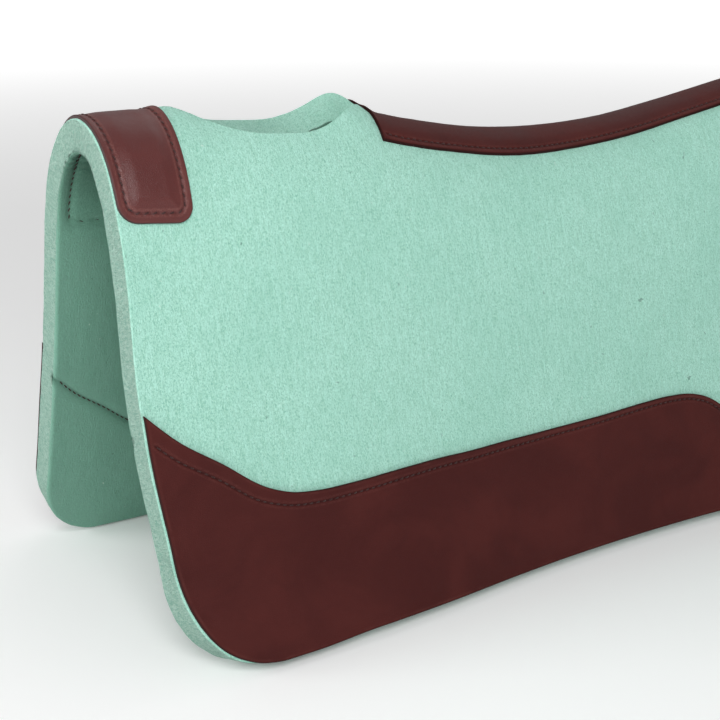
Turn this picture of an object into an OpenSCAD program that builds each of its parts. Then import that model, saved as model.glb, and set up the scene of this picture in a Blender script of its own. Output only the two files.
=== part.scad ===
// Contoured felt saddle pad: two felt halves butted and sewn together along
// the spine, a leather wither patch over the front of the seam, a leather strip
// over the rest of it, and a wear leather sewn to the lower part of each flap.
//
// Frame: +Z up, -Y towards the withers (front), +X towards the left flap.
// The origin is on the ground plane, under the middle of the pad.
//
// The felt is laid out in flat pattern coordinates. u runs down the outer face
// from the spine, y runs back along the spine from the front edge. A section
// curve bends u into the arch, and the spine line lifts and lowers it along y.

/* [Felt] */
// Overall length of the pad along the spine
pad_len = 812; // [760:2:860]
// Thickness of the felt
felt_t = 25.4; // [19:0.2:28]
// Height of the spine above the ground at the front edge
spine_h = 369; // [350:1:390]
// Gap between the two felt halves at the spine seam
seam_gap = 0.1; // [0.05:0.05:0.5]
// Size of the rounded lower corners, measured down the flap
corner_u = 82; // [60:2:110]
// The same on the inner face
corner_in = 61; // [50:1:82]
// Size of the rounded lower corners, measured along the pad
corner_y = 54; // [40:2:90]
// Width of the flat foot along the lower edge
foot_w = 8; // [5:0.5:12]
// Height of the outer lower edge above the foot
foot_lift = 8; // [5:0.5:12]

/* [Arch] */
// Distance down from the spine over which the felt bends to vertical
crown = 71; // [66:1:80]
// Outward flare of the flaps, degrees at 400 mm down
flare = 25.5; // [15:0.5:27]

/* [Wither notch] */
// Distance from the front edge to the middle of the notch
notch_y = 142; // [138:1:150]
// Length of the notch ahead of its middle
notch_front = 70; // [56:1:71]
// Length of the notch behind its middle
notch_rear = 89; // [70:1:90]
// Depth of the notch down each side of the spine
notch_d = 38; // [20:1:44]
// Squareness of the notch ends, 2 is an ellipse
notch_n = 2.6; // [2:0.2:4]
// Height of the raised lip in front of the notch
lip_front = 3.5; // [0:0.5:4]
// Height of the raised lip behind the notch
lip_rear = 15; // [0:1:16]

/* [Wither patch] */
// Length of the patch along the spine
patch_len = 60; // [50:1:70]
// Length of the patch at its lower ends
patch_end = 55; // [50:1:60]
// Drop of the patch on the left flap
patch_left = 97; // [80:1:120]
// Drop of the patch on the right flap
patch_right = 118; // [80:1:124]
// Radius of the patch corners
patch_r = 13; // [6:1:20]
// Set-back of the patch from the front edge of the felt
patch_set = 1.2; // [0.6:0.2:3]
// Slant of the lower end of the patch on the left flap
patch_slant = 0.1; // [0:0.02:0.2]
// Distance from the edge of the patch to its row of stitches
patch_in = 6; // [5:0.5:9]

/* [Spine strip] */
// Distance from the front edge to the front end of the strip
strip_y = 227; // [227:1:240]
// Set-back of the front end of the strip over the spine
strip_nose = 9; // [8:1:12]
// Half width of the strip at its front end
strip_front = 42; // [34:1:46]
// Half width of the strip over the rear of the pad
strip_rear = 31; // [26:1:36]

/* [Wear leathers] */
// Length of each wear leather along the pad
wear_len = 556; // [540:2:600]
// Drop from the spine to the tip at the front edge
wear_tip = 222; // [200:2:240]
// Drop from the spine to the lowest point of the top edge
wear_dip = 299; // [280:1:310]
// Drop from the spine to the top edge over the middle of the pad
wear_mid = 256; // [240:1:270]

/* [Leather and thread] */
// Thickness of the leather
leather_t = 3; // [2:0.2:4]
// Glue line between felt and leather
glue = 0.6; // [0.6:0.1:1]
// Pitch of the stitches
stitch_pitch = 6; // [5:0.5:9]
// Length of one stitch
stitch_len = 4.4; // [3:0.2:4.8]
// Width of one stitch
stitch_w = 1.2; // [0.8:0.1:1.6]
// Distance from the top edge of a wear leather to its row of stitches
stitch_in = 8; // [6:0.5:10]
// Pitch of the thread bars across the spine seam
seam_pitch = 12; // [8:1:20]

/* [Hidden] */

// Height of the spine line above its front end, at distances from the front
// edge: level over the withers, down into the hollow of the back, up to the loin
SPINE = [[0, 0], [80, -1], [160, -5], [220, -14], [280, -28], [340, -39],
    [410, -44], [480, -42], [550, -33], [620, -22], [700, -9], [812, -1]];

// Lower edge of the strip, as a half width at distances from the front edge
STRIP = [[strip_y, strip_front], [300, strip_front - 2], [370, strip_rear + 7],
    [430, strip_rear + 3], [490, strip_rear], [900, strip_rear]];

// Top edge of a wear leather, as a drop at distances from the front edge
WEAR = [[0, wear_tip], [24, wear_tip + 25], [50, wear_tip + 45],
    [78, wear_dip - 11], [98, wear_dip - 3], [122, wear_dip],
    [150, wear_dip - 1], [200, wear_dip - 8], [250, wear_mid + 25],
    [300, wear_mid + 14], [350, wear_mid + 6], [400, wear_mid + 2],
    [450, wear_mid], [wear_len - 80, wear_mid + 1],
    [wear_len - 52, wear_mid + 7], [wear_len - 34, wear_mid + 17],
    [wear_len - 20, wear_mid + 31], [wear_len - 9, wear_mid + 50],
    [wear_len - 3, wear_mid + 68], [wear_len, wear_mid + 88]];

// Distance of its row of stitches from that edge, wider at the front
WEAR_IN = [[0, stitch_in + 3.5], [60, stitch_in + 3], [122, stitch_in + 0.5],
    [200, stitch_in - 1], [300, stitch_in - 2.5], [400, stitch_in - 3.2],
    [620, stitch_in - 3.2]];

y0 = -pad_len/2;

function tanh(x) = let (e = exp(2*x)) (e - 1)/(e + 1);

// Slope of the outer face below the horizontal, u down from the spine
function lean(u) = 90*tanh(u/crown) - flare*u/400;

// The section curve, as points DU apart along u
DU = 2;
UN = 240;
SEC = [for (i = 0, x = 0, z = 0; i <= UN;
    x = x + DU*cos(lean((i + 0.5)*DU)),
    z = z - DU*sin(lean((i + 0.5)*DU)),
    i = i + 1) [x, z]];

function sec(u) = let (k = min(UN - 1, max(0, floor(u/DU))), t = u/DU - k)
    SEC[k] + t*(SEC[k + 1] - SEC[k]);

// Drop below the spine of the outer and of the inner face, turned into u
OUTER_U = [for (i = [0:UN]) [-SEC[i].y, i*DU]];
INNER_U = [for (i = [0:UN]) [-SEC[i].y + felt_t*cos(lean(i*DU)), i*DU]];

// Smooth curve through a list of [y, value] points
function slope_at(c, i) = let (n = len(c) - 1)
    i <= 0 ? (c[1].y - c[0].y)/(c[1].x - c[0].x) :
    i >= n ? (c[n].y - c[n - 1].y)/(c[n].x - c[n - 1].x) :
    let (h0 = c[i].x - c[i - 1].x, h1 = c[i + 1].x - c[i].x,
        d0 = (c[i].y - c[i - 1].y)/h0, d1 = (c[i + 1].y - c[i].y)/h1)
    (d0*h1 + d1*h0)/(h0 + h1);
function seg_of(c, y, i = 0) =
    i >= len(c) - 2 || y < c[i + 1].x ? i : seg_of(c, y, i + 1);
function curve(c, y) =
    let (i = seg_of(c, y), h = c[i + 1].x - c[i].x, t = (y - c[i].x)/h,
        a = slope_at(c, i)*h, b = slope_at(c, i + 1)*h,
        p = c[i].y, q = c[i + 1].y)
    p + t*(a + t*((3*(q - p) - 2*a - b) + t*(2*(p - q) + a + b)));

function spine_z(y) = spine_h + curve(SPINE, y);

// The lips at the two ends of the notch, which fade out along the spine and
// down the flap
function bump(a, b) =
    a >= 1 || b >= 1 ? 0 : pow(cos(90*a), 2)*pow(1 - b*b, 2);
function lip(u, y) = lip_front*bump(abs(y - 68)/22, u/60)
    + lip_rear*bump(abs(y - 203)/46, u/53);

// A point at pattern position w (left of the spine is positive), y, and
// offset o outward from the outer face of the felt
function at(w, y, o) =
    let (u = abs(w), s = sec(u), a = lean(u), d = w < 0 ? -1 : 1)
    [d*(s.x + o*sin(a)), y0 + y, s.y + o*cos(a) + spine_z(y) + lip(u, y)];

// How much the rounded lower corners take off the flap at y
function corner(y, cu = corner_u) =
    let (e = min(y, pad_len - y))
    e >= corner_y ? 0 : cu*(1 - sqrt(max(0, 1 - pow(1 - e/corner_y, 2))));
function bottom_out(y) = lookup(spine_z(y) - foot_lift, OUTER_U) - corner(y);
function bottom_in(y) = lookup(spine_z(y), INNER_U) - corner(y, corner_in);

// The seam edge, which drops down the flap at the notch
function seam_u(y) =
    let (e = y < notch_y ? (notch_y - y)/notch_front : (y - notch_y)/notch_rear)
    e >= 1 ? 0 : notch_d*(1 - pow(e, notch_n));

// Stations along y: close together at the corners and the notch
ARC = [for (a = [0:15:90]) corner_y*(1 - cos(a))];
n0 = notch_y - notch_front;
n1 = notch_y + notch_rear;
NOTCH = [for (a = [-90:10:90])
    notch_y + (a < 0 ? notch_front : notch_rear)*sin(a)];
MAIN_N = 20;
YS = concat([for (i = [0:5]) ARC[i]],
    [(ARC[5] + corner_y)/2, corner_y, n0 - 10, n0 - 5], NOTCH, [n1 + 7, n1 + 14, n1 + 24],
    [for (i = [1:MAIN_N]) n1 + 24 + (pad_len - corner_y - n1 - 24)*i/MAIN_N],
    [for (i = [5:-1:0]) pad_len - ARC[i]]);

// Closed solid from two grids of points, g outside and h inside, each a list
// of columns. mid is an optional list of points halfway along the last edge
module shell(g, h, mid = []) {
    nc = len(g);
    nr = len(g[0]);
    m = nc*nr;
    function G(c, r) = c*nr + r;
    function H(c, r) = m + c*nr + r;
    function M(c) = 2*m + c;
    pts = concat([for (c = g) each c], [for (c = h) each c], mid);
    k = len(mid) > 0;
    faces = concat(
        [for (c = [0:nc - 2]) for (r = [0:nr - 2]) each [
            [G(c, r), G(c, r + 1), G(c + 1, r + 1)],
            [G(c, r), G(c + 1, r + 1), G(c + 1, r)],
            [H(c, r), H(c + 1, r + 1), H(c, r + 1)],
            [H(c, r), H(c + 1, r), H(c + 1, r + 1)]]],
        [for (c = [0:nc - 2]) each [
            [G(c, 0), G(c + 1, 0), H(c + 1, 0)],
            [G(c, 0), H(c + 1, 0), H(c, 0)]]],
        [for (c = [0:nc - 2]) let (a = nr - 1) each k ? [
            [G(c, a), M(c), M(c + 1)], [G(c, a), M(c + 1), G(c + 1, a)],
            [M(c), H(c, a), H(c + 1, a)], [M(c), H(c + 1, a), M(c + 1)]] : [
            [G(c, a), H(c, a), H(c + 1, a)],
            [G(c, a), H(c + 1, a), G(c + 1, a)]]],
        [for (r = [0:nr - 2]) each [
            [G(0, r), H(0, r), H(0, r + 1)],
            [G(0, r), H(0, r + 1), G(0, r + 1)],
            [G(nc - 1, r), H(nc - 1, r + 1), H(nc - 1, r)],
            [G(nc - 1, r), G(nc - 1, r + 1), H(nc - 1, r + 1)]]],
        k ? [[G(0, nr - 1), H(0, nr - 1), M(0)],
            [G(nc - 1, nr - 1), M(nc - 1), H(nc - 1, nr - 1)]] : []);
    polyhedron(points = pts, faces = faces, convexity = 8);
}

// Rows down the flap, close together over the crown
ROWS = 17;
function row(i) = pow(i/ROWS, 1.6);

module felt_half() {
    g = [for (y = YS) let (t = max(seam_u(y), seam_gap/2), b = bottom_out(y))
        [for (i = [0:ROWS]) at(t + (b - t)*row(i), y, 0)]];
    h = [for (y = YS) let (t = max(seam_u(y), seam_gap/2), b = bottom_in(y))
        [for (i = [0:ROWS]) let (u = t + (b - t)*row(i), p = at(u, y, -felt_t))
            i == ROWS && corner(y) == 0 ? [p.x, p.y, 0] :
            i == 0 && t <= seam_gap ? [seam_gap/2, p.y, p.z] : p]];
    mid = [for (c = [0:len(YS) - 1]) let (p = h[c][ROWS], q = g[c][ROWS])
        corner(YS[c]) == 0 ? [p.x + foot_w, p.y, 0] : p + (q - p)/3];
    shell(g, h, mid);
}

module left_felt_panel() { color([0.66, 0.85, 0.76]) felt_half(); }
module right_felt_panel() {
    color([0.64, 0.83, 0.74]) mirror([1, 0, 0]) felt_half();
}

// Leather lies on the felt above the glue line. ps is a list of columns of
// [w, y] pattern points
module leather(ps) {
    shell([for (c = ps) [for (p = c) at(p.x, p.y, glue + leather_t)]],
        [for (c = ps) [for (p = c) at(p.x, p.y, glue)]]);
}

// Wither patch: a strap across the front of the spine with round corners
PATCH_W = let (n = 24, r = patch_r)
    concat([for (a = [0:22.5:67.5]) -patch_right + r*(1 - cos(a))],
        [for (i = [0:n]) -patch_right + r + (patch_right + patch_left - 2*r)*i/n],
        [for (a = [67.5:-22.5:0]) patch_left - r*(1 - cos(a))]);
function patch_mid(w) =
    (patch_len - (patch_len - patch_end)*abs(w)/patch_left)/2;
function patch_half(w) =
    let (e = min(w + patch_right, patch_left - w), d = patch_r - e)
    patch_mid(w) - (d <= 0 ? 0 : patch_r - sqrt(max(0, patch_r*patch_r - d*d)));
// The patch is set back from the front edge, more so on the right flap, and
// its left end is a little out of square
function patch_pt(w, y) = [w + (w > 0 ? patch_slant*(y - 30)*w/patch_left : 0),
    y + (patch_set + 2.5*min(1, max(0, -w/60)))*(1 - y/patch_len)];
module wither_patch() {
    color([0.36, 0.17, 0.16])
        leather([for (j = [6:-1:0]) [for (w = PATCH_W)
            patch_pt(w, patch_mid(w) + patch_half(w)*(j/3 - 1))]]);
}

// Spine strip: a long strap that covers the seam behind the notch
STRIP_YS = [for (i = [0:40]) strip_y + (pad_len - strip_y)*pow(i/40, 1.15)];
module spine_strip() {
    color([0.33, 0.15, 0.14])
        leather([for (i = [40:-1:0]) let (y = STRIP_YS[i], s = curve(STRIP, y))
            [for (k = [-5:5])
                [s*k/5, y + strip_nose*(1 - abs(k)/5)*max(0, 1 - i/12)]]]);
}

// Wear leather: from the front edge back along the lower part of a flap
WEAR_YS = concat(ARC, [for (i = [1:16]) corner_y + (wear_len - 80 - corner_y)*i/16],
    [for (d = [66, 52, 42, 34, 27, 20, 14, 9, 5, 2, 0]) wear_len - d]);
module wear_leather() {
    leather([for (y = WEAR_YS) let (t = curve(WEAR, y),
        b = bottom_out(y) - 0.3 + 1.8*min(1, max(0, (y - corner_y)/80)))
        [for (i = [0:6]) [t + (b - t)*i/6, y]]]);
}
module left_wear_leather() { color([0.27, 0.12, 0.12]) wear_leather(); }
module right_wear_leather() {
    color([0.27, 0.12, 0.12]) mirror([1, 0, 0]) wear_leather();
}

// One stitch lying on the leather, turned by a from the pad's long direction
module stitch(w, y, a) {
    p = at(w, y, glue + leather_t + 0.9);
    translate(p) rotate([0, (w < 0 ? -1 : 1)*lean(abs(w)), 0]) rotate([0, 0, a])
        cube([stitch_w, stitch_len, 0.7], center = true);
}

// Even row of stitches along a list of pattern points
function run_len(c, i) = i <= 0 ? 0 : run_len(c, i - 1) + norm(c[i] - c[i - 1]);
module stitch_run(c) {
    acc = [for (i = 0, s = 0; i < len(c);
        s = s + (i + 1 < len(c) ? norm(c[i + 1] - c[i]) : 0), i = i + 1) [s, i]];
    total = acc[len(c) - 1].x;
    n = floor(total/stitch_pitch);
    for (k = [0:n - 1]) {
        s = (k + 0.5)*total/n;
        f = lookup(s, acc);
        i = min(len(c) - 2, floor(f));
        p = c[i] + (f - i)*(c[i + 1] - c[i]);
        d = c[i + 1] - c[i];
        stitch(p.x, p.y, atan2(-d.x, d.y));
    }
}

module wither_patch_stitching() {
    a = patch_left - patch_in - 1;
    b = patch_right - patch_in - 1;
    r = patch_r - 5;
    f = patch_in;
    g = patch_len - patch_in;
    loop = concat(
        [for (i = [0:20]) [-b + r + (a + b - 2*r)*i/20, f]],
        [for (q = [15:15:90]) [a - r + r*sin(q), f + r - r*cos(q)]],
        [for (i = [1:6]) [a, f + r + (g - f - 2*r)*i/6]],
        [for (q = [15:15:90]) [a - r + r*cos(q), g - r + r*sin(q)]],
        [for (i = [1:20]) [a - r - (a + b - 2*r)*i/20, g]],
        [for (q = [15:15:90]) [-b + r - r*sin(q), g - r + r*cos(q)]],
        [for (i = [1:6]) [-b, g - r - (g - f - 2*r)*i/6]],
        [for (q = [15:15:90]) [-b + r - r*cos(q), f + r - r*sin(q)]]);
    color([0.16, 0.07, 0.07]) stitch_run([for (p = loop)
        patch_pt(p.x, f + (p.y - f)*(2*patch_mid(p.x) - 2*f)/(patch_len - 2*f))]);
}

module strip_run(d) {
    color([0.16, 0.07, 0.07]) stitch_run([for (i = [0:60])
        let (y = strip_y + 6 + (pad_len - strip_y - 12)*i/60)
        [d*(curve(STRIP, y) - 5), y]]);
}
module strip_left_stitching() { strip_run(1); }
module strip_right_stitching() { strip_run(-1); }

// The wear leather's row follows its top edge and turns down its rear end
module wear_run() {
    top = [for (i = [0:60]) let (y = 8 + (wear_len - 34)*i/60,
        m = (curve(WEAR, y + 2) - curve(WEAR, y - 2))/4)
        [curve(WEAR, y) + lookup(y, WEAR_IN)*sqrt(1 + m*m), y]];
    rear = [for (i = [0:8]) [wear_mid + 64 + 12*i, wear_len - 10]];
    color([0.16, 0.07, 0.07]) stitch_run(concat(
        [for (p = top) if (p.y < wear_len - 26) p],
        [[wear_mid + 46, wear_len - 17], [wear_mid + 54, wear_len - 13]],
        [for (p = rear) if (p.x < bottom_out(wear_len - 10) - 8) p]));
}
module left_wear_stitching() { wear_run(); }
module right_wear_stitching() { mirror([1, 0, 0]) wear_run(); }

// Thread bars that hold the two felt halves together under the spine
module spine_seam_stitching() {
    front = [for (y = [8:seam_pitch:n0 - 6]) y];
    rear = [for (y = [n1 + 8:seam_pitch:pad_len - 8]) y];
    color([0.16, 0.07, 0.07]) for (y = concat(front, rear)) {
        p = at(0, y, -felt_t - 2.8);
        translate(p) cube([11, 1.4, 1.2], center = true);
    }
}

left_felt_panel();
right_felt_panel();
spine_seam_stitching();
wither_patch();
wither_patch_stitching();
spine_strip();
strip_left_stitching();
strip_right_stitching();
left_wear_leather();
left_wear_stitching();
right_wear_leather();
right_wear_stitching();
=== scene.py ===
import bpy, math
import numpy as np
from mathutils import Matrix, Vector


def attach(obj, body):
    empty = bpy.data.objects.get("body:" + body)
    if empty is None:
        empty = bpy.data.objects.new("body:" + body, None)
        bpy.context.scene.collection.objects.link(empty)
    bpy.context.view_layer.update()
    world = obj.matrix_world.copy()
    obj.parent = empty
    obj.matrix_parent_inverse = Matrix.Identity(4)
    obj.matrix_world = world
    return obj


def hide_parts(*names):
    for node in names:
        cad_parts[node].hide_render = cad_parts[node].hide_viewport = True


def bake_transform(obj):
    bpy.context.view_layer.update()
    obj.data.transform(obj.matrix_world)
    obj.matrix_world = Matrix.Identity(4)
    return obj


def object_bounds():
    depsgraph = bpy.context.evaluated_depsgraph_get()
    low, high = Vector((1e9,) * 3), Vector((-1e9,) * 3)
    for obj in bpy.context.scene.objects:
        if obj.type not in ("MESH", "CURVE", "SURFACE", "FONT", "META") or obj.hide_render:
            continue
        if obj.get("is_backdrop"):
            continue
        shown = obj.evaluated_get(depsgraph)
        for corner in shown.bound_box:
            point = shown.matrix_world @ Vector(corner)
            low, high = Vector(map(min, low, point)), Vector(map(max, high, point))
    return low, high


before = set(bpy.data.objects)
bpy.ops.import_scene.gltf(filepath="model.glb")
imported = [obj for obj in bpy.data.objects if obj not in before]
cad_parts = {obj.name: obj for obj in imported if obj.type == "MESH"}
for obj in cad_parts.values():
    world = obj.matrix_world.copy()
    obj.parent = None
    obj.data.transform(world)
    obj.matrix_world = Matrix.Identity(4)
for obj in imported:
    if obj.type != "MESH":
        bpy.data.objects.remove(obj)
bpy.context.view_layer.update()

LEN, FELT = 812.0, 25.4
SPINE_H, CROWN, FLARE = 369.0, 71.0, 25.5
FOOT_LIFT, CORNER_U, CORNER_RIGHT, CORNER_IN, CORNER_Y = 8.0, 82.0, 66.0, 61.0, 54.0
NOTCH_Y, NOTCH_F, NOTCH_R, NOTCH_D, NOTCH_N = 142.0, 70.0, 89.0, 38.0, 2.6
PATCH_LEN, PATCH_END, PATCH_L, PATCH_R, PATCH_RAD = 60.0, 55.0, 97.0, 118.0, 13.0
STRIP_Y, STRIP_NOSE, WEAR_LEN, PATCH_IN = 227.0, 4.0, 556.0, 6.0
LEATHER = 3.0
SPINE = np.array([[0, 0], [80, -1], [160, -5], [220, -14], [280, -28], [340, -39],
                  [410, -44], [480, -42], [550, -33], [620, -22], [700, -9], [812, -1]], float)
STRIP = np.array([[227, 42], [300, 40], [370, 38], [430, 34], [490, 31], [900, 31]], float)
WEAR = np.array([[0, 222], [24, 247], [50, 267], [78, 288], [98, 296], [122, 299], [150, 298],
                 [200, 291], [250, 281], [300, 270], [350, 262], [400, 258], [450, 256],
                 [476, 257], [504, 263], [522, 273], [536, 287], [547, 306], [553, 324],
                 [556, 344]], float)


WEAR_IN = np.array([[0, 11.5], [60, 11], [122, 8.5], [200, 7], [300, 5.5], [400, 4.8], [900, 4.8]])


# ---------------------------------------------------------------- shape
def curve(c, y):
    y = np.asarray(y, float)
    x, v = c[:, 0], c[:, 1]
    n = len(x) - 1
    h = np.diff(x)
    d = np.diff(v) / h
    m = np.zeros(n + 1)
    m[0], m[n] = d[0], d[-1]
    m[1:n] = (d[:-1] * h[1:] + d[1:] * h[:-1]) / (h[:-1] + h[1:])
    i = np.clip(np.searchsorted(x, y, side="right") - 1, 0, n - 1)
    t = (y - x[i]) / h[i]
    a, b, p, q = m[i] * h[i], m[i + 1] * h[i], v[i], v[i + 1]
    return p + t * (a + t * ((3 * (q - p) - 2 * a - b) + t * (2 * (p - q) + a + b)))


def lean(u):
    return 90 * np.tanh(u / CROWN) - FLARE * u / 400


_u = np.arange(0, 481.0)
_mid = np.radians(lean(_u[:-1] + 0.5))
SEC_X = np.r_[0, np.cumsum(np.cos(_mid))]
SEC_Z = np.r_[0, -np.cumsum(np.sin(_mid))]


def smooth(t):
    t = np.clip(t, 0, 1)
    return t * t * (3 - 2 * t)


def noise(p, scale, seed):
    """Smooth value noise from -1 to 1 at points p, with cells of the given size."""
    table = np.random.default_rng(seed).random((32, 32, 32)) * 2 - 1
    q = np.asarray(p, float) / scale
    i = np.floor(q).astype(int)
    f = q - i
    f = f * f * (3 - 2 * f)
    out = 0
    for a in (0, 1):
        for b in (0, 1):
            for c in (0, 1):
                k = ((f[..., 0] if a else 1 - f[..., 0]) * (f[..., 1] if b else 1 - f[..., 1])
                     * (f[..., 2] if c else 1 - f[..., 2]))
                out = out + k * table[(i[..., 0] + a) & 31, (i[..., 1] + b) & 31, (i[..., 2] + c) & 31]
    return out


def bump(a, b):
    return np.where((a >= 1) | (b >= 1), 0,
                    np.cos(np.pi / 2 * np.minimum(a, 1)) ** 2 * (1 - np.minimum(b, 1) ** 2) ** 2)


def lip(w, y):
    u = np.abs(w)
    out = 3.5 * bump(np.abs(y - 68) / 22, u / 60) + 15 * bump(np.abs(y - 203) / 46, u / 53)
    # the right half stands a little higher behind the notch
    return out + np.where(w < 0, 5.5 * np.cos(np.pi / 2 * np.minimum(np.abs(y - 221) / 43, 1)) ** 2
                          * np.sin(np.pi * np.clip(u, 0, 36) / 36) ** 2, 0)


def wave(w, y):
    """Gentle unevenness of the thick felt, which the leather follows."""
    u = np.abs(w)
    p = np.stack(np.broadcast_arrays(np.asarray(w, float), np.asarray(y, float), 0 * u), -1)
    fade = smooth((u - 25) / 60) * smooth((395 - u) / 70)
    return fade * (0.9 * noise(p, 118, 3) + 0.35 * noise(p, 47, 4))


def spine_z(y):
    return SPINE_H + curve(SPINE, y)


def at(w, y, o):
    w, y, o = np.broadcast_arrays(*(np.asarray(k, float) for k in (w, y, o)))
    u = np.abs(w)
    o = o + wave(w, y)
    a = np.radians(lean(u))
    x = np.interp(u, _u, SEC_X) + o * np.sin(a)
    z = np.interp(u, _u, SEC_Z) + o * np.cos(a) + spine_z(y) + lip(w, y)
    # the right flap bellies out a little more than the left
    x = x + np.where(w < 0, 5.5 * smooth((u - 15) / 75) * smooth((385 - u) / 130), 0)
    # and the left flap's front edge bows forward a little at middle height
    y = y - np.where(w > 0, 4.0 * smooth((u - 120) / 100) * smooth((330 - u) / 90), 0) * smooth((60 - y) / 60)
    return np.stack([np.where(w < 0, -1, 1) * x, y - LEN / 2, z], -1)


def corner(y, cu=CORNER_U, cy=CORNER_Y, shift=0.0):
    e = np.minimum(y, LEN - y) - shift
    return np.where(e >= cy, 0, cu * (1 - np.sqrt(np.maximum(0, 1 - (1 - np.clip(e, 0, cy) / cy) ** 2))))


def bottom(y, f):
    """Drop of the lower edge at fraction f of the thickness, 0 outside and 1 inside."""
    target = FOOT_LIFT * np.clip(1 - f / 0.69, 0, 1)
    zz = SEC_Z - FELT * f * np.cos(np.radians(lean(_u)))
    k = _u > 100
    return np.interp(spine_z(y) - target, -zz[k], _u[k])


def seam_u(y):
    e = np.where(y < NOTCH_Y, (NOTCH_Y - y) / NOTCH_F, (y - NOTCH_Y) / NOTCH_R)
    return np.where(e >= 1, 0, NOTCH_D * (1 - np.minimum(e, 1) ** NOTCH_N))


def along(poly):
    return np.r_[0, np.cumsum(np.linalg.norm(np.diff(poly, axis=0), axis=1))]


def dist(pts, poly, far=30.0):
    """Distance of 2-D points to a polyline, exact up to far, and how far along it the nearest point is."""
    a, b = poly[:-1], poly[1:]
    d = b - a
    l2 = np.maximum((d ** 2).sum(1), 1e-12)
    s0 = along(poly)[:-1]
    seg = np.sqrt(l2)
    best = np.full(len(pts), float(far))
    where = np.zeros(len(pts))
    lo, hi = np.minimum(a, b) - far, np.maximum(a, b) + far
    for k in range(0, len(pts), 1500):
        q = pts[k:k + 1500]
        m = np.where((lo <= q.max(0)).all(1) & (hi >= q.min(0)).all(1))[0]
        if not len(m):
            continue
        v = q[:, None, :] - a[m][None]
        t = np.clip((v * d[m]).sum(2) / l2[m], 0, 1)
        r = ((v - t[..., None] * d[m]) ** 2).sum(2)
        j = r.argmin(1)
        n = np.arange(len(j))
        x = np.sqrt(r[n, j])
        best[k:k + 1500] = np.minimum(x, far)
        where[k:k + 1500] = s0[m[j]] + t[n, j] * seg[m[j]]
    return best, where


def round_off(d, r):
    d = np.clip(d, 0, r)
    return r - np.sqrt(np.maximum(0, r * r - (r - d) ** 2))


# ---------------------------------------------------------------- stitch rows
def patch_mid(w):
    return (PATCH_LEN - (PATCH_LEN - PATCH_END) * np.abs(w) / PATCH_L) / 2


def patch_half(w, r=PATCH_RAD):
    e = np.minimum(w + PATCH_R, PATCH_L - w)
    d = r - e
    return patch_mid(w) - np.where(d <= 0, 0, r - np.sqrt(np.maximum(0, r * r - d * d)))


def patch_warp(w, y):
    """The patch is set back from the front edge, more so on the right, and its left end is out of square."""
    return (w + np.where(w > 0, 0.1 * (y - 30) * w / PATCH_L, 0),
            y + (1.2 + 2.5 * np.clip(-w / 60, 0, 1)) * (1 - y / PATCH_LEN))


def patch_row():
    a, b, r = PATCH_L - PATCH_IN - 1, PATCH_R - PATCH_IN - 1, PATCH_RAD - 5
    f, g = PATCH_IN, PATCH_LEN - PATCH_IN
    q = np.radians(np.arange(10, 91, 10))
    p = [(w, f) for w in np.linspace(-b + r, a - r, 60)]
    p += [(a - r + r * math.sin(k), f + r - r * math.cos(k)) for k in q]
    p += [(a, y) for y in np.linspace(f + r, g - r, 12)[1:]]
    p += [(a - r + r * math.cos(k), g - r + r * math.sin(k)) for k in q]
    p += [(w, g) for w in np.linspace(a - r, -b + r, 60)[1:]]
    p += [(-b + r - r * math.sin(k), g - r + r * math.cos(k)) for k in q]
    p += [(-b, y) for y in np.linspace(g - r, f + r, 12)[1:]]
    p += [(-b + r - r * math.cos(k), f + r - r * math.sin(k)) for k in q]
    p = np.array(p)
    p[:, 1] = f + (p[:, 1] - f) * (2 * patch_mid(p[:, 0]) - 2 * f) / (PATCH_LEN - 2 * f)
    return np.stack(patch_warp(p[:, 0], p[:, 1]), 1)


def strip_row(d):
    y = np.linspace(STRIP_Y + 5, LEN - 5, 160)
    return np.stack([d * (curve(STRIP, y) - 5), y], 1)


def wear_sewn(y):
    """Drop of the wear leather's row of stitches, square to its top edge."""
    m = (curve(WEAR, y + 2) - curve(WEAR, y - 2)) / 4
    return curve(WEAR, y) + curve(WEAR_IN, y) * np.sqrt(1 + m * m)


def wear_row(d):
    y = np.linspace(6, WEAR_LEN - 27, 150)
    p = np.stack([wear_sewn(y), y], 1)
    end = [(302, WEAR_LEN - 18), (311, WEAR_LEN - 13)] + [
        (v, WEAR_LEN - 10) for v in np.arange(321, bottom(WEAR_LEN, 0) - 8, 6)]
    p = np.r_[p, np.array(end)]
    p[:, 0] *= d
    return p


# ---------------------------------------------------------------- meshes
def perimeter(nc, nr):
    return ([(i, 0) for i in range(nc)] + [(nc - 1, j) for j in range(1, nr)]
            + [(i, nr - 1) for i in range(nc - 2, -1, -1)] + [(0, j) for j in range(nr - 2, 0, -1)])


def closed_grid(top, low, rings):
    """Closed solid from two grids of points and the rings of points between their edges."""
    nc, nr = top.shape[:2]
    per = np.array(perimeter(nc, nr))
    flat = per[:, 0] * nr + per[:, 1]
    m, k = nc * nr, len(flat)
    pts = np.concatenate([top.reshape(-1, 3), low.reshape(-1, 3)] + list(rings))
    i, j = np.meshgrid(np.arange(nc - 1), np.arange(nr - 1), indexing="ij")
    a = (i * nr + j).ravel()
    quads = [np.stack([a, a + nr, a + nr + 1, a + 1], 1), np.stack([a, a + 1, a + nr + 1, a + nr], 1) + m]
    loops = [flat] + [2 * m + r * k + np.arange(k) for r in range(len(rings))] + [flat + m]
    for p, q in zip(loops, loops[1:]):
        quads.append(np.stack([np.roll(p, -1), p, q, np.roll(q, -1)], 1))
    return pts, np.concatenate(quads)


def volume(p, q):
    a, b, c, d = (p[q[:, k]] for k in range(4))
    return (np.einsum("ij,ij->i", a, np.cross(b, c)).sum() + np.einsum("ij,ij->i", a, np.cross(c, d)).sum()) / 6


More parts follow.
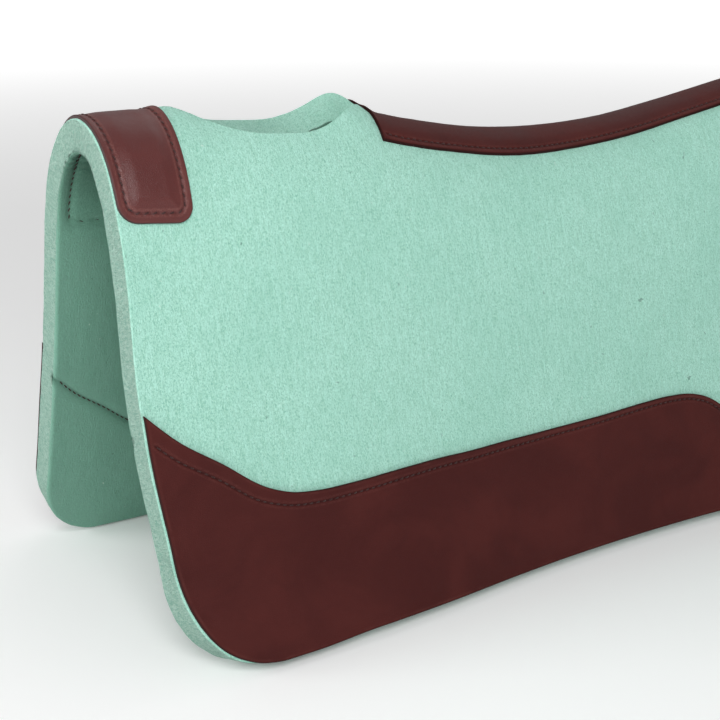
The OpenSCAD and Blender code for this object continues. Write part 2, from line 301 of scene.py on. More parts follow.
def normals(p, q):
    n = np.cross(p[q[:, 2]] - p[q[:, 0]], p[q[:, 3]] - p[q[:, 1]])
    out = np.zeros_like(p)
    for k in range(4):
        np.add.at(out, q[:, k], n)
    return out / np.maximum(np.linalg.norm(out, axis=1), 1e-12)[:, None]


def build(name, pts, faces, material, attributes):
    """A mesh object from points in millimetres."""
    me = bpy.data.meshes.new(name)
    if isinstance(faces, np.ndarray):
        me.vertices.add(len(pts))
        me.vertices.foreach_set("co", (pts * 0.001).astype(np.float32).ravel())
        me.loops.add(faces.size)
        me.loops.foreach_set("vertex_index", faces.astype(np.int32).ravel())
        me.polygons.add(len(faces))
        me.polygons.foreach_set("loop_start", np.arange(0, faces.size, 4, dtype=np.int32))
        me.update(calc_edges=True)
    else:
        me.from_pydata((pts * 0.001).tolist(), [], faces)
    me.polygons.foreach_set("use_smooth", np.ones(len(me.polygons), bool))
    for key, v in attributes.items():
        v = np.asarray(v, np.float32)
        kind = "FLOAT_VECTOR" if v.ndim == 2 else "FLOAT"
        me.attributes.new(key, kind, "POINT").data.foreach_set("vector" if v.ndim == 2 else "value", v.ravel())
    me.validate()
    me.update()
    me.materials.append(material)
    o = bpy.data.objects.new(name, me)
    bpy.context.scene.collection.objects.link(o)
    return o


# ---------------------------------------------------------------- materials
class Nodes:
    """Short names for building a node material."""

    def __init__(self, name):
        self.m = bpy.data.materials.new(name)
        self.m.use_nodes = True
        self.t = self.m.node_tree
        self.t.nodes.clear()
        self.out = self.t.nodes.new("ShaderNodeOutputMaterial")
        self.p = self.t.nodes.new("ShaderNodeBsdfPrincipled")
        self.t.links.new(self.p.outputs[0], self.out.inputs["Surface"])

    def put(self, socket, v):
        if isinstance(v, bpy.types.NodeSocket):
            self.t.links.new(v, socket)
        elif socket.type in ("RGBA",) and len(v) == 3:
            socket.default_value = (*v, 1)
        else:
            socket.default_value = v

    def node(self, kind, out=0, props=None, **inputs):
        n = self.t.nodes.new(kind)
        for k, v in (props or {}).items():
            setattr(n, k, v)
        for k, v in inputs.items():
            self.put(n.inputs[int(k[1:])] if k[0] == "_" else n.inputs[k.replace("__", " ")], v)
        return n.outputs[out]

    def attr(self, name, vector=False):
        return self.node("ShaderNodeAttribute", 1 if vector else 2,
                         {"attribute_name": name, "attribute_type": "GEOMETRY"})

    def scaled(self, v, s):
        return self.node("ShaderNodeVectorMath", 0, {"operation": "MULTIPLY"}, _0=v, _1=s)

    def noise(self, v, scale, detail=2.0, rough=0.5, warp=0.0):
        return self.node("ShaderNodeTexNoise", 0, None, Vector=v, Scale=scale, Detail=detail,
                         Roughness=rough, Distortion=warp)

    def math(self, op, a, b=0.0, clamp=False):
        return self.node("ShaderNodeMath", 0, {"operation": op, "use_clamp": clamp}, _0=a, _1=b)

    def ramp(self, v, lo, hi, a=0.0, b=1.0):
        n = self.t.nodes.new("ShaderNodeMapRange")
        n.interpolation_type = "SMOOTHSTEP"
        for k, x in zip(("Value", "From Min", "From Max", "To Min", "To Max"), (v, lo, hi, a, b)):
            self.put(n.inputs[k], x)
        return n.outputs[0]

    def mix(self, f, a, b, mode="MIX"):
        n = self.t.nodes.new("ShaderNodeMix")
        n.data_type = "RGBA"
        n.blend_type = mode
        self.put(n.inputs[0], f)
        self.put(n.inputs[6], a)
        self.put(n.inputs[7], b)
        return n.outputs[2]

    def bump(self, height, distance, strength=1.0, normal=None):
        n = self.t.nodes.new("ShaderNodeBump")
        self.put(n.inputs["Height"], height)
        self.put(n.inputs["Distance"], distance)
        self.put(n.inputs["Strength"], strength)
        if normal is not None:
            self.put(n.inputs["Normal"], normal)
        return n.outputs[0]

    def set(self, **inputs):
        for k, v in inputs.items():
            self.put(self.p.inputs[k.replace("__", " ")], v)
        return self.m


def srgb(r, g, b):
    return tuple((c / 255 / 12.92) if c <= 10 else ((c / 255 + 0.055) / 1.055) ** 2.4 for c in (r, g, b))


def felt_material():
    """Pressed wool felt: fibres run mostly down the flap, and the cut edges are paler and greyer."""
    n = Nodes("wool_felt")
    p = n.attr("pat", True)                       # (down, along, through) in millimetres
    cut = n.attr("cut")
    inner = n.attr("inside")
    streak = n.noise(n.scaled(p, (0.085, 0.36, 0.5)), 1.0, 4, 0.62, 0.6)
    fibre = n.noise(n.scaled(p, (0.34, 1.05, 1.0)), 1.0, 3, 0.6, 1.4)
    cloud = n.noise(n.scaled(p, (0.012, 0.016, 0.016)), 1.0, 3, 0.55)
    grain = n.noise(n.scaled(p, (0.60, 1.15, 1.0)), 1.0, 4, 0.7, 0.8)
    col = n.mix(n.ramp(streak, 0.34, 0.68), srgb(156, 213, 192), srgb(178, 231, 214))
    col = n.mix(n.ramp(fibre, 0.40, 0.66, 0.0, 0.60), col, srgb(192, 241, 225))
    col = n.mix(n.ramp(grain, 0.51, 0.62, 0.0, 0.66), col, srgb(122, 187, 165))
    col = n.mix(n.ramp(grain, 0.49, 0.36, 0.0, 0.62), col, srgb(210, 251, 238))
    col = n.mix(n.ramp(cloud, 0.35, 0.70, 0.0, 0.22), col, srgb(143, 205, 184))
    # the underside is a deeper green, darkened further as painted shade of the arch over it
    under = n.mix(n.ramp(grain, 0.35, 0.7), srgb(82, 128, 108), srgb(116, 164, 143))
    col = n.mix(inner, col, under)
    # painted shade: the underside is darker still towards the crown
    down = n.math("ABSOLUTE", n.node("ShaderNodeSeparateXYZ", 0, None, Vector=p))
    col = n.mix(n.math("MULTIPLY", inner, n.ramp(down, 130, 50, 0.0, 0.5)), col, srgb(52, 86, 72))
    # cut faces: matted fibres of mixed tone
    mat = n.noise(n.scaled(p, (0.55, 0.55, 0.20)), 1.0, 4, 0.7, 1.6)
    tone = n.mix(n.ramp(mat, 0.36, 0.66), srgb(124, 174, 155), srgb(176, 208, 193))
    tone = n.mix(n.ramp(fibre, 0.48, 0.72, 0.0, 0.45), tone, srgb(204, 222, 213))
    col = n.mix(cut, col, tone)
    # sparse dark and pale flecks, as in recycled wool
    fleck = n.noise(n.scaled(p, (0.16, 0.20, 0.20)), 1.0, 1, 0.5, 0.8)
    fleck2 = n.noise(n.node("ShaderNodeVectorMath", 0, {"operation": "ADD"}, _0=n.scaled(p, (0.30, 0.34, 0.3)), _1=(31.0, 7.0, 3.0)), 1.0, 1, 0.5, 0.6)
    col = n.mix(n.ramp(fleck, 0.765, 0.81, 0.0, 0.55), col, srgb(72, 112, 96))
    col = n.mix(n.ramp(fleck2, 0.775, 0.81, 0.0, 0.50), col, srgb(224, 236, 226))
    h1 = n.math("ADD", n.math("MULTIPLY", fibre, 0.45), n.math("MULTIPLY", grain, -0.75))
    deep = n.math("ADD", 0.0011, n.math("MULTIPLY", cut, 0.0008))
    nrm = n.bump(streak, 0.0006, 0.5)
    nrm = n.bump(h1, deep, 1.0, nrm)
    nrm = n.bump(mat, n.math("MULTIPLY", cut, 0.0016), 0.9, nrm)
    return n.set(Base__Color=col, Roughness=0.96, Normal=nrm, Specular__IOR__Level=0.12,
                 Sheen__Weight=0.16, Sheen__Roughness=0.55, Sheen__Tint=(0.80, 0.97, 0.90, 1))


def leather_material(name, gloss, tone=1.0, spec=0.2, coat=0.03, groove=0.6, blotch=1.0, shoulder_highlight=0.75):
    """Oxblood skirting leather: fine grain, waxy sheen, dark burnished edges, painted highlight on the shoulders by the
    stitches and painted shade in their groove.
    """
    n = Nodes(name)
    p = n.attr("pat", True)
    edge = n.attr("edge")
    st = n.attr("stitch")
    a, b, c = (tuple(tone * v for v in srgb(*k)) for k in ((70, 27, 25), (80, 33, 30), (57, 21, 20)))
    cloud = n.noise(n.scaled(p, (0.014, 0.011, 0.02)), 1.0, 4, 0.58, 0.5)
    pull = n.noise(n.scaled(p, (0.05, 0.035, 0.05)), 1.0, 4, 0.6, 1.4)
    fine = n.noise(p, 1.15, 4, 0.6, 0.3)
    cell = n.node("ShaderNodeTexVoronoi", 0, {"feature": "DISTANCE_TO_EDGE"}, Vector=n.node(
        "ShaderNodeVectorMath", 0, {"operation": "ADD"}, _0=p, _1=n.scaled(n.node("ShaderNodeTexNoise", 1, None, Vector=p, Scale=0.8, Detail=2.0), (1.0, 1.0, 1.0))), Scale=0.85)
    col = n.mix(n.ramp(cloud, 0.36, 0.66), a, b)
    col = n.mix(n.ramp(pull, 0.50, 0.80, 0.0, 0.40 * blotch), col, c)
    col = n.mix(n.ramp(fine, 0.55, 0.80, 0.0, 0.25), col, tuple(1.35 * v for v in b))
    # painted highlight: lighter, reddish shoulders beside the stitch row; painted shade: a darker groove in it
    highlit_shoulders = n.math("MULTIPLY", n.ramp(st, 0.8, 1.8), n.ramp(st, 3.6, 2.2))
    col = n.mix(n.math("MULTIPLY", highlit_shoulders, n.ramp(fine, 0.42, 0.60, 0.10 * shoulder_highlight, shoulder_highlight)), col, srgb(126, 74, 68))
    col = n.mix(n.ramp(st, 1.1, 0.3, 0.0, groove), col, srgb(34, 14, 13))
    # burnished edge, with a rubbed line just inside it
    rub = n.math("MULTIPLY", n.ramp(edge, 0.7, 1.5), n.ramp(edge, 3.2, 1.8))
    col = n.mix(n.math("MULTIPLY", rub, n.ramp(pull, 0.40, 0.70, 0.0, 0.22)), col, srgb(116, 66, 60))
    col = n.mix(n.ramp(edge, 0.7, 0.25, 0.0, 0.8), col, srgb(38, 17, 16))
    rough = n.ramp(cloud, 0.3, 0.7, gloss - 0.04, gloss + 0.07)
    rough = n.math("ADD", rough, n.ramp(fine, 0.3, 0.7, -0.03, 0.05))
    rough = n.math("ADD", rough, n.ramp(edge, 1.5, 0.4, 0.0, 0.22))
    crease = n.noise(n.scaled(p, (0.9, 0.22, 0.6)), 1.0, 3, 0.6, 2.2)
    nrm = n.bump(crease, 0.00022, 0.5)
    nrm = n.bump(n.ramp(cell, 0.0, 0.22), 0.00010, 0.55, nrm)
    nrm = n.bump(fine, 0.00014, 0.6, nrm)
    return n.set(Base__Color=col, Roughness=rough, Normal=nrm, Specular__IOR__Level=spec,
                 Coat__Weight=coat, Coat__Roughness=0.30)


def thread_material():
    n = Nodes("waxed_thread")
    p = n.attr("pat", True)                       # (along the stitch, round it, stitch number)
    twist = n.node("ShaderNodeTexWave", 1, {"wave_type": "BANDS", "bands_direction": "DIAGONAL"},
                   Vector=p, Scale=0.9, Distortion=0.6, Detail=2.0)
    hair = n.noise(p, 3.0, 3, 0.6)
    col = n.mix(n.ramp(twist, 0.2, 0.8), srgb(34, 14, 13), srgb(74, 38, 34))
    col = n.mix(n.ramp(hair, 0.5, 0.8, 0.0, 0.5), col, srgb(98, 58, 52))
    return n.set(Base__Color=col, Roughness=0.62, Normal=n.bump(twist, 0.0002, 0.8),
                 Specular__IOR__Level=0.35, Sheen__Weight=0.1)


FELT_M = felt_material()
THREAD_M = thread_material()

# ---------------------------------------------------------------- felt
EDGE_STEPS = np.array([0, 0.35, 0.8, 1.4, 2.2, 3.2])


def felt_half(side):
    """One half of the felt, 25.4 mm thick, cut square at its edges."""
    end = np.r_[EDGE_STEPS]
    ys = np.unique(np.r_[end, np.arange(4.4, 70, 1.7), np.arange(70.5, 240, 2.1), np.arange(240, LEN - 5, 3.3),
                         WEAR_LEN - 10 + np.array([-2.2, -1.1, -0.4, 0.4, 1.1, 2.2]), LEN - end])
    t = np.maximum(seam_u(ys), 0.05)
    g = wear_sewn(np.minimum(ys, 500))
    rows = np.r_[np.linspace(0, 0.21, 33)[:-1], np.linspace(0.21, 1, 56)]

    def levels(b):
        up = (t + 4.4)[:, None] + ((g - 3.2) - (t + 4.4))[:, None] * rows[None]
        mid = g[:, None] + np.array([-1.9, -1.1, -0.5, 0, 0.5, 1.1, 1.9])[None]
        lo = (g + 3.2)[:, None] + ((b - 4.4) - (g + 3.2))[:, None] * np.linspace(0, 1, 30)[None]
        return np.concatenate([t[:, None] + end[None], up, mid, lo, b[:, None] - end[None, ::-1]], 1)

    cor = corner(ys, CORNER_U if side > 0 else CORNER_RIGHT)
    bo, bi = bottom(ys, 0.0) - cor, bottom(ys, 1.0) - corner(ys, CORNER_IN)
    uo, ui = levels(bo), levels(bi)
    yy = np.repeat(ys[:, None], uo.shape[1], 1)
    n0, n1 = NOTCH_Y - NOTCH_F, NOTCH_Y + NOTCH_R
    seam_f = np.stack([np.full(40, 0.05), np.linspace(0, n0, 40)], 1)
    seam_r = np.stack([np.full(60, 0.05), np.linspace(n1, LEN, 60)], 1)
    row_w = wear_row(1)
    row_w = np.r_[[[row_w[0, 0] - 7, -6.0]], row_w]
    row_p = patch_row()
    row_p = np.r_[row_p, row_p[:1]]
    row_s = strip_row(1)

    def face(u, b, inside):
        q = np.stack([u.ravel(), yy.ravel()], 1)
        yn = np.linspace(n0, n1, 120)
        rest = np.stack([np.maximum(seam_u(yn), 0.05), yn], 1)
        outline = np.concatenate([np.stack([np.linspace(0.05, b[0], 60), np.zeros(60)], 1),
                                  np.stack([b, ys], 1),
                                  np.stack([np.linspace(b[-1], 0.05, 60), np.full(60, LEN)], 1)])
        o = np.zeros(len(q))
        r_cut = 1.2 if not inside else 3.0
        o = np.maximum(o, round_off(dist(q, outline)[0], r_cut))
        o = np.maximum(o, round_off(dist(q, rest)[0], r_cut))
        for s in (seam_f, seam_r):
            o = np.maximum(o, round_off(dist(q, s)[0], 0.9))
        if inside:
            # sewn rows pull the felt in, and the crown is creased where it bends
            d, s = dist(q, row_w)
            o = o + 3.0 * np.exp(-(d / 1.9) ** 2) + 1.0 * np.exp(-(d / 6) ** 2)
            d, s = dist(q, row_s)
            o = o + 1.8 * np.exp(-(d / 1.8) ** 2) + 0.5 * np.exp(-(d / 5) ** 2)
            d, s = dist(q * [side, 1], row_p)
            o = o + 2.8 * np.exp(-(d / 1.9) ** 2) + 0.9 * np.exp(-(d / 6) ** 2)
            p3 = np.stack([q[:, 0] * 0, q[:, 1], q[:, 0] * 0], 1)
            for k, (uc, depth) in enumerate(((20, 1.3), (27, 1.8), (35, 2.1), (44, 1.6), (55, 1.2))):
                uk = uc + 2.6 * noise(p3, 46, 20 + k) + 1.1 * noise(p3, 17, 40 + k)
                amp = depth * (0.62 + 0.45 * noise(p3, 60, 60 + k))
                o = o + amp * np.exp(-((q[:, 0] - uk) / 1.7) ** 2) * np.exp(-((q[:, 1] - 20) / 260) ** 2)
        else:
            # the felt swells a little beside the leather that is sewn down on it
            top = np.stack([curve(WEAR, np.linspace(0, WEAR_LEN, 200)), np.linspace(0, WEAR_LEN, 200)], 1)
            d, s = dist(q, top)
            o = o + 0.35 * np.exp(-(d / 2.5) ** 2)
        return o.reshape(u.shape)

    oo = -face(uo, bo, False)
    oi = -FELT + face(ui, bi, True)
    G, H = at(side * uo, yy, oo), at(side * ui, yy, oi)
    nc, nr = uo.shape
    per = np.array(perimeter(nc, nr))
    pi, pj = per[:, 0], per[:, 1]
    rings, attr_r = [], []
    for f in np.linspace(0.13, 0.87, 9):
        u = uo[pi, pj] * (1 - f) + ui[pi, pj] * f
        low = (pj == nr - 1) & (cor[pi] == 0)
        u = np.where(low, bottom(ys[pi], f), u)
        o = -FELT * f
        rings.append(at(side * u, ys[pi], o))
        attr_r.append(np.stack([u, ys[pi], np.full(len(u), o)], 1))
    pts, quads = closed_grid(G, H, rings)
    if volume(pts, quads) < 0:
        quads = quads[:, ::-1]
    pat = np.concatenate([np.stack([uo, yy, oo], -1).reshape(-1, 3), np.stack([ui, yy, oi], -1).reshape(-1, 3)] + attr_r)
    m, k = nc * nr, len(per)
    cut = np.zeros(len(pts))
    cut[2 * m:] = 1
    cut[:m] = smooth((-oo.ravel() - 0.15) / 0.9)
    d_in = np.zeros((nc, nr), bool)
    d_in[0], d_in[-1], d_in[:, 0], d_in[:, -1] = True, True, True, True
    cut[m:2 * m] = d_in.ravel() * 0.8
    # the faces of the notch keep the colour of the outside
    notch = smooth((pat[:, 1] - n0 + 6) / 6) * smooth((n1 + 6 - pat[:, 1]) / 6) * (pat[:, 0] < seam_u(pat[:, 1]) + 8)
    cut = cut * (1 - 0.7 * notch)
    inside = np.zeros(len(pts))
    # painted shade: the underside turns darker towards the crown
    inside[m:2 * m] = 0.80 + 0.20 * smooth((150 - ui.ravel()) / 110)
    nv = normals(pts, quads)
    tex = 0.16 * noise(pts, 7.5, 11) + 0.10 * noise(pts, 3.6, 12)
    tex = tex + (inside > 0) * (0.30 * noise(pts, 13, 13) + 0.12 * noise(pts, 5, 14))
    tex = tex + cut * (0.34 * noise(pts * [1, 1, 1], 6.5, 15) + 0.22 * noise(pts, 3.1, 16))
    # keep the butted faces of the seam flat
    flat = (np.abs(pts[:, 0]) < 1.2) & (np.abs(nv[:, 0]) > 0.7)
    pts = pts + nv * np.where(flat, 0, tex)[:, None]
    pts[:, 2] = np.maximum(pts[:, 2], 0)
    pts[:, 0] = np.maximum(pts[:, 0], 0.02) if side > 0 else np.minimum(pts[:, 0], -0.02)
    pat = pat * [side, 1, 1]
    o = build("felt_left" if side > 0 else "felt_right", pts, quads, FELT_M,
              {"pat": pat, "cut": cut, "inside": inside})
    return o


# ---------------------------------------------------------------- leather
def leather_piece(name, W, Y, rows, material, puff, sink=0.5, r=0.9, groove=0.75, pad_from=8.0, pad_over=11.0,
                  thick=LEATHER, crest=1.0):
    """A leather piece on the felt, from grids of pattern points, with its rows of stitches pressed in."""
    nc, nr = W.shape
    q = np.stack([W.ravel(), Y.ravel()], 1)
    per = np.array(perimeter(nc, nr))
    loop = np.stack([W[per[:, 0], per[:, 1]], Y[per[:, 0], per[:, 1]]], 1)
    loop = np.r_[loop, loop[:1]]
    d, _ = dist(q, loop)
    st = np.full(len(q), 1e3)
    dip = np.zeros(len(q))
    for row, n in rows:
        e, s = dist(q, row)
        pitch = along(row)[-1] / n
        hole = 0.5 + 0.5 * np.cos(2 * np.pi * s / pitch)
        dip = np.maximum(dip, groove * np.exp(-(e / 1.0) ** 2) * (0.25 + 1.0 * hole ** 2)
                         + 0.14 * np.exp(-(e / 2.6) ** 2))
        st = np.minimum(st, e)
    rise = puff * smooth((d - pad_from) / pad_over) * (crest + (1 - crest) * smooth((np.abs(q[:, 0]) - 8) / 50))
    grain = 0.10 * noise(np.c_[q, 0 * d], 9, 71) + 0.05 * noise(np.c_[q, 0 * d], 4, 72)
    o = thick + rise - dip - round_off(d, r) + grain * smooth(d / 3)
    o = o.reshape(W.shape)
    G = at(W, Y, o)
    H = at(W, Y, np.full(W.shape, -sink))
    pi, pj = per[:, 0], per[:, 1]
    rings, ra = [], []
    for f in (0.22, 0.5, 0.78):
        oo = (thick - r) * (1 - f) + -sink * f
        rings.append(at(W[pi, pj], Y[pi, pj], oo))
        ra.append(np.stack([W[pi, pj], Y[pi, pj], np.full(len(pi), oo)], 1))
    pts, quads = closed_grid(G, H, rings)
    if volume(pts, quads) < 0:
        quads = quads[:, ::-1]
    pat = np.concatenate([np.stack([W, Y, o], -1).reshape(-1, 3),
                          np.stack([W, Y, np.full(W.shape, -sink)], -1).reshape(-1, 3)] + ra)
    m = nc * nr
    edge = np.zeros(len(pts))
    edge[:m] = d
    stitch = np.full(len(pts), 50.0)
    stitch[:m] = np.minimum(st, 50)
    piece = build(name, pts, quads, material, {"pat": pat, "edge": edge, "stitch": stitch})
    return piece


def spread(a, b, step, dense=(0, 0.3, 0.7, 1.2, 1.9, 2.8, 4.0)):
    e = np.array(dense)
    k = max(2, int(round((b - a - 2 * e[-1]) / step)))
    return np.r_[a + e[:-1], np.linspace(a + e[-1], b - e[-1], k + 1), (b - e[:-1])[::-1]]


def add_cord(pts, faces, pat, P, T, sd, up, rr, ply, twist, sv, k, NS=8):
    """A short two-ply cord with closed ends along the points P."""
    NR = len(P)
    base = len(pts) * (NR * NS + 2)
    e = np.linspace(-1, 1, NR)
    a = 2 * np.pi * np.arange(NS) / NS
    ring = rr[:, None] * (1 + ply * np.cos(2 * (a[None] - twist * e[:, None])))
    body = P[:, None] + ring[..., None] * (np.cos(a)[None, :, None] * sd[:, None] + np.sin(a)[None, :, None] * up[:, None])
    pts.append(np.concatenate([body.reshape(-1, 3), [P[0] - T[0] * rr[0] * 0.8, P[-1] + T[-1] * rr[-1] * 0.8]]))
    mark = np.stack([np.repeat(sv, NS), np.tile(a * 0.6, NR), np.full(NR * NS, k * 0.37)], 1)
    pat.append(np.concatenate([mark, [(sv[0], 0, k * 0.37), (sv[-1], 0, k * 0.37)]]))
    for j in range(NS):
        j2 = (j + 1) % NS
        faces += [(base + i * NS + j, base + i * NS + j2, base + (i + 1) * NS + j2, base + (i + 1) * NS + j)
                  for i in range(NR - 1)]
        faces.append((base + NS * NR, base + j2, base + j))
        faces.append((base + NS * NR + 1, base + (NR - 1) * NS + j, base + (NR - 1) * NS + j2))


def stitch_threads(name, rows, surface, inner=None, radius=0.50, length=0.60):
    """Every visible bight of a sewn row as a two-ply thread that dips into the leather at both ends."""
    pts, faces, pat = [], [], []
    NR = 9
    for row, n, slant in rows:
        s = along(row)
        pitch = s[-1] / n
        for k in range(n):
            for under in ((False, True) if inner else (False,)):
                c = (k + 0.5) * pitch
                half = pitch * length / 2
                sv = np.linspace(c - half, c + half, NR)
                w = np.interp(sv, s, row[:, 0])
                y = np.interp(sv, s, row[:, 1])
                tw, ty = w[-1] - w[0], y[-1] - y[0]
                l = math.hypot(tw, ty)
                tw, ty = tw / l, ty / l
                side = np.linspace(-1, 1, NR) * half * math.tan(slant)
                w, y = w - ty * side, y + tw * side
                e = np.linspace(-1, 1, NR)
                arc = 1 - np.abs(e) ** 2.6
                if under:
                    o = inner(w, y) + 0.2 - 0.75 * arc
                    sgn = -1
                else:
                    o = surface(w, y) - 0.95 + 1.35 * arc
                    sgn = 1
                P = at(w, y, o)
                T = np.gradient(P, axis=0)
                T /= np.linalg.norm(T, axis=1)[:, None]
                up = at(w, y, o + 1.0) - at(w, y, o)
                up -= (up * T).sum(1)[:, None] * T
                up /= np.linalg.norm(up, axis=1)[:, None]
                sd = np.cross(T, up)
                rr = radius * (0.72 + 0.28 * (1 - np.abs(e) ** 4))
                add_cord(pts, faces, pat, P, T, sd, up, rr, 0.16, 2.6 * 1.6, sv, k)
    return build(name, np.concatenate(pts), faces, THREAD_M, {"pat": np.concatenate(pat)})


def on_leather(puff_at_row):
    return lambda w, y: np.full(np.shape(w), LEATHER + puff_at_row)


def count(row, pitch):
    return int(round(along(row)[-1] / pitch))


P_ROW = patch_row()
P_ROW = np.r_[P_ROW, P_ROW[:1]]
P_N = count(P_ROW, 6.2)
S_ROWS = [strip_row(1), strip_row(-1)]
S_N = count(S_ROWS[0], 5.6)
W_ROWS = [wear_row(1), wear_row(-1)]
W_N = count(W_ROWS[0], 5.4)

# the patch leather is toned lighter than the strip and wear leathers, partly as painted sheen of the light on its top
PATCH_LM = leather_material("patch_leather", 0.38, 1.5, 0.45, 0.12, 0.30, 0.8, 0.65)
STRIP_LM = leather_material("strip_leather", 0.50, 1.02, 0.09, 0.01, 0.45, 0.8, 0.25)
WEAR_LM = leather_material("wear_leather", 0.52, 0.93, 0.13, 0.02, 0.5, 0.5, 0.16)

felt_l, felt_r = felt_half(1), felt_half(-1)

# wither patch, a padded strap over the front of the seam
ang = np.radians(np.linspace(0, 82, 12))
ws = np.unique(np.round(np.r_[-PATCH_R + PATCH_RAD * (1 - np.cos(ang)), np.linspace(-PATCH_R + PATCH_RAD, PATCH_L - PATCH_RAD, 132),
                              PATCH_L - PATCH_RAD * (1 - np.cos(ang))], 4))
qs = spread(-PATCH_LEN / 2, PATCH_LEN / 2, 1.3) / (PATCH_LEN / 2)
W = np.repeat(ws[:, None], len(qs), 1)
W, Y = patch_warp(W, patch_mid(W) + patch_half(W) * qs[None])
patch = leather_piece("wither_patch_leather", W, Y, [(P_ROW, P_N)], PATCH_LM, 1.9,
                      groove=0.8, pad_from=6.6, pad_over=12.0, thick=2.5, crest=0.35)
patch_st = stitch_threads("wither_patch_thread", [(P_ROW, P_N, 0.42)], on_leather(-1.0),
                          inner=lambda w, y: np.full(np.shape(w), -FELT + 3.6))

# spine strip
ys = spread(STRIP_Y, LEN, 1.9)
qs = spread(-1, 1, 0.055, (0, 0.008, 0.018, 0.032, 0.05, 0.075, 0.10))
qs = np.unique(np.r_[qs, 0.84, 0.87, -0.84, -0.87, 0.9, -0.9])
Y = np.repeat(ys[:, None], len(qs), 1)
W = curve(STRIP, Y) * qs[None]
Y = Y + STRIP_NOSE * (1 - np.abs(qs[None])) * smooth((STRIP_Y + 90 - Y) / 90)
strip = leather_piece("spine_strip_leather", W, Y, [(r, S_N) for r in S_ROWS], STRIP_LM, 0.7,
                      groove=0.7, pad_from=6.0, pad_over=10.0)
strip_sl = stitch_threads("strip_left_thread", [(S_ROWS[0], S_N, 0.12)], on_leather(-0.45),
                          inner=lambda w, y: np.full(np.shape(w), -FELT + 2.5))
strip_sr = stitch_threads("strip_right_thread", [(S_ROWS[1], S_N, 0.12)], on_leather(-0.45),
                          inner=lambda w, y: np.full(np.shape(w), -FELT + 2.5))

# wear leathers
wear, wear_st = [], []
for side, row in ((1, W_ROWS[0]), (-1, W_ROWS[1])):
    inset = 1.6 if side > 0 else 0.5
    ys = np.unique(np.round(np.r_[inset + np.array([0, 0.3, 0.7, 1.2, 1.9, 2.8, 4.0]), np.arange(7, WEAR_LEN - 22, 1.8),
                                  np.arange(WEAR_LEN - 22, WEAR_LEN - 6, 1.0),
                                  WEAR_LEN - np.array([5.4, 4.6, 3.8, 3.1, 2.5, 1.9, 1.4, 0.9, 0.5, 0.2, 0])], 4))
    t = curve(WEAR, np.maximum(ys, 0))
    b = (bottom(ys, 0.0) - corner(ys, CORNER_U if side > 0 else CORNER_RIGHT, CORNER_Y - inset, inset)
         - 1.3 + 4.5 * smooth((ys - 35) / 35) - 2.1 * smooth((ys - 90) / 60))
    g = np.maximum(wear_sewn(np.minimum(ys, 505)), t + 7.0)
    e = np.array([0, 0.3, 0.7, 1.2, 1.9, 2.8, 3.9])
    up = (t + 4.0)[:, None] + ((g - 2.4) - (t + 4.0))[:, None] * np.linspace(0, 1, 4)[None, :-1]
    mid = g[:, None] + np.array([-2.4, -1.6, -0.9, -0.3, 0.3, 0.9, 1.6, 2.4])[None]
    lo = (g + 2.4)[:, None] + ((b - 3.9) - (g + 2.4))[:, None] * np.linspace(0, 1, 40)[None, 1:-1]
    U = np.concatenate([t[:, None] + e[None, :-1], up, mid, lo, b[:, None] - e[None, ::-1]], 1)
    Y = np.repeat(ys[:, None], U.shape[1], 1)
    nm = "left" if side > 0 else "right"
    piece = leather_piece(f"{nm}_wear_leather_cover", side * U, Y, [(row, W_N)], WEAR_LM, 0.25,
                          groove=0.75, pad_from=6.0, pad_over=9.0)
    wear.append(piece)
    wear_st.append(stitch_threads(f"{nm}_wear_thread", [(row, W_N, 0.14)], on_leather(-0.5),
                                  inner=lambda w, y: np.full(np.shape(w), -FELT + 3.8)))


def seam_threads():
    """The thread that draws the two halves together, seen on the underside as bars across the seam."""
    pts, faces, pat = [], [], []
    NR = 11
    ycs = np.r_[np.arange(8, 66, 12), np.arange(239, LEN - 8, 12)]
    for k, yc in enumerate(ycs):
        e = np.linspace(-1, 1, NR)
        w = e * 9.0
        y = yc + e * 2.2
        inset = -FELT - 0.5 + 1.3 * np.abs(e) ** 3
        P = at(w, y, inset)
        P[:, 0] = e * 6.0
        T = np.gradient(P, axis=0)
        T /= np.linalg.norm(T, axis=1)[:, None]
        up = np.tile(np.array([0, 0, -1.0]), (NR, 1))
        up -= (up * T).sum(1)[:, None] * T
        up /= np.linalg.norm(up, axis=1)[:, None]
        sd = np.cross(T, up)
        add_cord(pts, faces, pat, P, T, sd, up, np.full(NR, 0.62), 0.15, 3.2, e * 6, k)
    return build("spine_seam_thread", np.concatenate(pts), faces, THREAD_M, {"pat": np.concatenate(pat)})


seam = seam_threads()

# ---------------------------------------------------------------- bodies
for piece, node, slot in ((felt_l, "left_felt_panel", "felt"), (felt_r, "right_felt_panel", "felt"),
                          (patch, "wither_patch", "leather"), (patch_st, "wither_patch_stitching", "thread"),
                          (strip, "spine_strip", "leather"), (strip_sl, "strip_left_stitching", "thread"),
                          (strip_sr, "strip_right_stitching", "thread"), (seam, "spine_seam_stitching", "thread")):
    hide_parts(node)
    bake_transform(piece)
for k, nm in enumerate(("left", "right")):
    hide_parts(f"{nm}_wear_leather")
    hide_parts(f"{nm}_wear_stitching")
    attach(wear[k], f"{nm}_side")
    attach(wear_st[k], f"{nm}_side")

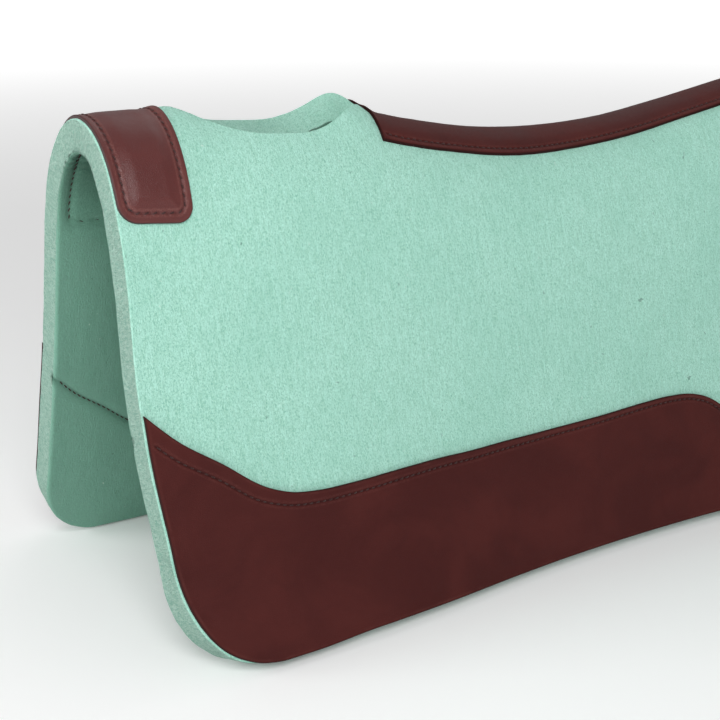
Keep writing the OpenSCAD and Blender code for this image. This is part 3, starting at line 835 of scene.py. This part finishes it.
# ---------------------------------------------------------------- studio
def floor():
    n = Nodes("studio_floor")
    v = n.node("ShaderNodeNewGeometry", 0)
    tone = n.noise(v, 0.6, 2, 0.5)
    n.set(Base__Color=n.mix(n.ramp(tone, 0.3, 0.7), (0.86, 0.86, 0.86), (0.89, 0.89, 0.89)), Roughness=0.9,
          Specular__IOR__Level=0.1, Emission__Color=(1, 1, 1, 1), Emission__Strength=n.ramp(
              n.node("ShaderNodeVectorMath", 1, {"operation": "LENGTH"}, _0=v), 0.5, 4.5, 0.10, 0.85))
    me = bpy.data.meshes.new("floor")
    s = 9.0
    me.from_pydata([(-s, -s, -0.0004), (s, -s, -0.0004), (s, s, -0.0004), (-s, s, -0.0004)], [], [(0, 1, 2, 3)])
    me.materials.append(n.m)
    o = bpy.data.objects.new("floor", me)
    bpy.context.scene.collection.objects.link(o)
    o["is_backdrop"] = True


def area(name, where, to, size, power, colour=(1, 1, 1)):
    lamp = bpy.data.lights.new(name, "AREA")
    lamp.shape, lamp.size, lamp.energy, lamp.color = "SQUARE", size, power, colour
    o = bpy.data.objects.new(name, lamp)
    bpy.context.scene.collection.objects.link(o)
    o.location = where
    o.rotation_mode = "QUATERNION"
    o.rotation_quaternion = (Vector(to) - Vector(where)).to_track_quat("-Z", "Y")


floor()
world = bpy.data.worlds.new("studio")
world.use_nodes = True
world.node_tree.nodes["Background"].inputs[0].default_value = (1, 1, 1, 1)
world.node_tree.nodes["Background"].inputs[1].default_value = 0.36
bpy.context.scene.world = world
area("key", (1.30, -1.00, 1.25), (0.10, -0.20, 0.2), 0.9, 20)
area("side", (-0.45, -2.1, 0.75), (0.0, -0.3, 0.2), 1.0, 19)
area("back", (-0.9, 1.0, 1.8), (0.0, -0.1, 0.35), 1.6, 5)

cam = bpy.data.objects.new("camera", bpy.data.cameras.new("camera"))
bpy.context.scene.collection.objects.link(cam)
right = Vector((0.53923078, 0.84215804, 0.0))
fwd = Vector((-0.80012293, 0.51231585, -0.31198681))
up = right.cross(fwd)
cam.matrix_world = Matrix(((right.x, up.x, -fwd.x, 0.9705), (right.y, up.y, -fwd.y, -0.7968),
                           (right.z, up.z, -fwd.z, 0.5328), (0, 0, 0, 1)))
cam.data.sensor_width, cam.data.lens = 36, 75
cam.data.clip_start, cam.data.clip_end = 0.05, 60
bpy.context.scene.camera = cam
bpy.context.scene.view_settings.view_transform = "Standard"

lo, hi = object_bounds()
